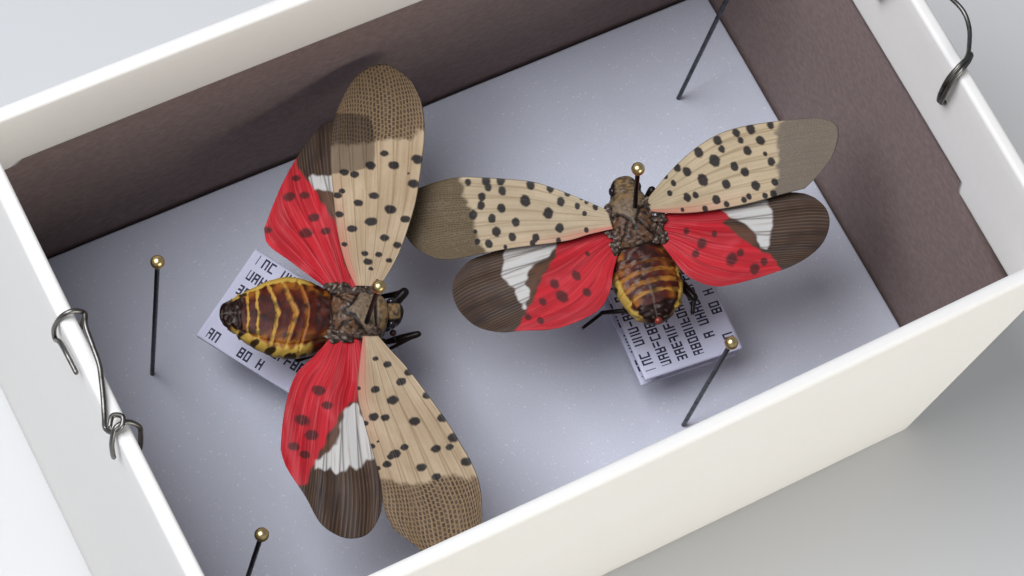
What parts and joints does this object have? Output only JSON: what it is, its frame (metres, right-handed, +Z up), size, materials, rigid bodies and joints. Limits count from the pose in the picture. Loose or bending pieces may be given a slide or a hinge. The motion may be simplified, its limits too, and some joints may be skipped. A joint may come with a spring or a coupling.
{
  "type": "pinned spotted lanternfly specimen case",
  "caption": "Open card specimen tray with a foam floor, spotted lanternflies spread on insect pins, plain labels, spare pins and wire end ties.",
  "frame": {"origin": "middle of the tray's underside", "axes": "+X along the tray's long side towards the end with the bulging wire, +Y towards the back wall, +Z up; the main insect's head points to +X and slightly -Y"},
  "size_m": [0.0932, 0.053, 0.051],
  "materials": {
    "card": "white paper wrap over grey chipboard, matt",
    "foam": "fine white foam with a faint sparkle",
    "label_card": "white card with rows of printed marks",
    "tie_wire": "drawn steel wire, dull",
    "pin_steel": "blued steel shaft with a brass-coloured round head",
    "cuticle": "dry insect cuticle, tan to dark brown, satin",
    "abdomen": "red-brown plates with yellow hind edges, satin",
    "eye": "dark glossy compound eye",
    "antenna": "orange-red bulb with a dark bristle",
    "forewing": "tan membrane with dark round spots and a netted brown tip, satin",
    "hindwing": "red base with dark spots, a white band and a black-brown outer part, satin",
    "leg": "dark brown to black cuticle, satin"
  },
  "bodies": {
    "root": {"case_tray": "card", "foam_floor": "foam", "label_left": "label_card", "label_right": "label_card", "label_right_under": "label_card", "wire_left": "tie_wire", "wire_right": "tie_wire", "pin_main": "pin_steel", "pin_second": "pin_steel", "pin_left_back": "pin_steel", "pin_left_front": "pin_steel", "pin_front": "pin_steel", "pin_back": "pin_steel", "head": "cuticle", "eye_left": "eye", "eye_right": "eye", "antenna_left": "antenna", "antenna_right": "antenna", "rostrum": "cuticle", "pronotum": "cuticle", "thorax": "cuticle", "abdomen": "abdomen", "forewing_left": "forewing", "forewing_right": "forewing", "hindwing_left": "hindwing", "hindwing_right": "hindwing", "foreleg_left": "leg", "foreleg_right": "leg", "midleg_left": "leg", "midleg_right": "leg", "hindleg_left": "leg", "hindleg_right": "leg", "second_lanternfly": "cuticle"}
  },
  "joints": []
}
